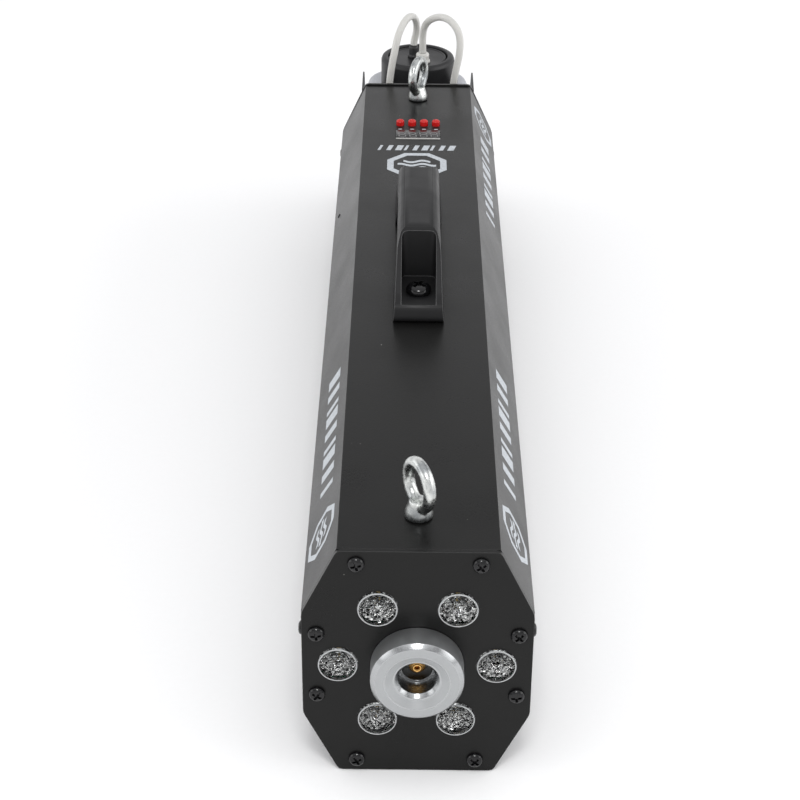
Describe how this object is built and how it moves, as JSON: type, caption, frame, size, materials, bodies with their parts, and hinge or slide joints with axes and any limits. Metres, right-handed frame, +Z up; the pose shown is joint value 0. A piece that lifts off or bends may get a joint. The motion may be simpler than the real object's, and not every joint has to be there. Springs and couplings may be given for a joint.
{
  "type": "fog machine",
  "caption": "Hand-carried fog machine: long octagonal black case with nozzle and ring of lens lights in front, bridge handle, eyebolts, buttons and display on top, and a fluid tank behind.",
  "frame": {"origin": "middle of the flat base, under the centre of the length from the nozzle ring's face to the tank cradle's rear edge", "axes": "+Z up, +Y from the nozzle to the rear, +X to the right when facing the machine from its nozzle end"},
  "size_m": [0.11, 0.7096, 0.1768],
  "materials": {
    "case_paint": "semi-matt black powder coat with a fine texture",
    "handle_plastic": "finely grained black moulding",
    "black_plastic": "black moulding",
    "rocker_plastic": "smooth black moulding",
    "cap_plastic": "smooth black moulding",
    "red_plastic": "glossy red moulding",
    "display_black": "black face with unlit pale grey digit segments",
    "zinc": "bright zinc plating",
    "black_steel": "glossy black plating",
    "turned_aluminium": "bright turned face",
    "cast_aluminium": "as cast",
    "brass": "turned",
    "copper": "drawn copper tube",
    "plated_steel": "zinc-plated",
    "insulation": "woven glass sleeve",
    "clear_lens": "clear moulded optic with a beaded face",
    "circuit_board": "green solder mask",
    "milky_plastic": "milky translucent polyethylene",
    "silicone": "milky translucent silicone",
    "rubber_seal": "matt black"
  },
  "bodies": {
    "case": {"top_cover": "case_paint", "bottom_tray": "case_paint", "front_plate": "case_paint", "rear_plate": "case_paint", "tank_cradle": "case_paint", "handle": "handle_plastic", "power_inlet": "black_plastic", "switch_body": "black_plastic", "elbow_feed": "black_plastic", "elbow_return": "black_plastic", "display_module": "display_black", "eyebolt_front": "zinc", "eyebolt_rear": "zinc", "eyebolt_nut_front": "zinc", "eyebolt_nut_rear": "zinc", "handle_nut_front": "zinc", "handle_nut_rear": "zinc", "handle_screw_front": "black_steel", "handle_screw_rear": "black_steel", "inlet_screw_left": "black_steel", "inlet_screw_right": "black_steel", "nozzle_ring": "turned_aluminium", "heater_block": "cast_aluminium", "spray_nozzle": "brass", "feed_tube": "copper", "heating_element": "plated_steel", "heater_bracket_front": "plated_steel", "heater_bracket_rear": "plated_steel", "thermostat": "plated_steel", "pump_body": "plated_steel", "pump_spring": "plated_steel", "pump_bracket": "plated_steel", "heater_jacket": "insulation", "led_lens_1": "clear_lens", "led_lens_2": "clear_lens", "led_lens_3": "clear_lens", "led_lens_4": "clear_lens", "led_lens_5": "clear_lens", "led_lens_6": "clear_lens", "led_board": "circuit_board", "control_board": "circuit_board", "power_board": "circuit_board", "tank": "milky_plastic", "hose_feed": "silicone", "hose_return": "silicone", "suction_tube": "silicone", "bleed_tube": "silicone"},
    "cap_insert": {"cap_disc": "cap_plastic", "cap_gasket": "rubber_seal", "barb_feed": "silicone", "barb_return": "black_plastic", "pickup_tube": "silicone"},
    "cap_ring": {"cap_ring": "cap_plastic"},
    "button_1": {"button_1": "red_plastic"},
    "button_2": {"button_2": "red_plastic"},
    "button_3": {"button_3": "red_plastic"},
    "button_4": {"button_4": "red_plastic"},
    "pump_plunger": {"pump_plunger": "plated_steel"},
    "switch_rocker": {"switch_rocker": "rocker_plastic"},
    "fuse_drawer": {"fuse_drawer": "black_plastic"}
  },
  "joints": [
    {"name": "cap_lift", "type": "slide", "parent": "case", "child": "cap_insert", "axis": [0, 0, 1], "range_m": [0, 0.0061], "deforming": ["hose_feed", "hose_return"]},
    {"name": "cap_turn", "type": "hinge", "parent": "cap_insert", "child": "cap_ring", "pos_m": [0, 0.3078, 0.12], "axis": [0, 0, 1], "range_deg": [0, 540]},
    {"name": "button_1_press", "type": "slide", "parent": "case", "child": "button_1", "axis": [0, 0, -1], "range_m": [0, 0.0008], "stiffness_N_per_m": 1200, "springref_m": -0.0005},
    {"name": "button_2_press", "type": "slide", "parent": "case", "child": "button_2", "axis": [0, 0, -1], "range_m": [0, 0.0008], "stiffness_N_per_m": 1200, "springref_m": -0.0005},
    {"name": "button_3_press", "type": "slide", "parent": "case", "child": "button_3", "axis": [0, 0, -1], "range_m": [0, 0.0008], "stiffness_N_per_m": 1200, "springref_m": -0.0005},
    {"name": "button_4_press", "type": "slide", "parent": "case", "child": "button_4", "axis": [0, 0, -1], "range_m": [0, 0.0008], "stiffness_N_per_m": 1200, "springref_m": -0.0005},
    {"name": "switch_rock", "type": "hinge", "parent": "case", "child": "switch_rocker", "pos_m": [0.027, 0.2563, 0.02], "axis": [-1, 0, 0], "range_deg": [0, 20]},
    {"name": "fuse_drawer_slide", "type": "slide", "parent": "case", "child": "fuse_drawer", "axis": [0, 1, 0], "range_m": [0, 0.017]},
    {"name": "pump_stroke", "type": "slide", "parent": "case", "child": "pump_plunger", "axis": [0, 0, 1], "range_m": [0, 0.003], "stiffness_N_per_m": 300, "springref_m": -0.003, "deforming": ["pump_spring"]}
  ],
  "couplings": [
    {"joint": "cap_lift", "follows": "cap_turn", "m_per_rad": 0.00063662}
  ]
}
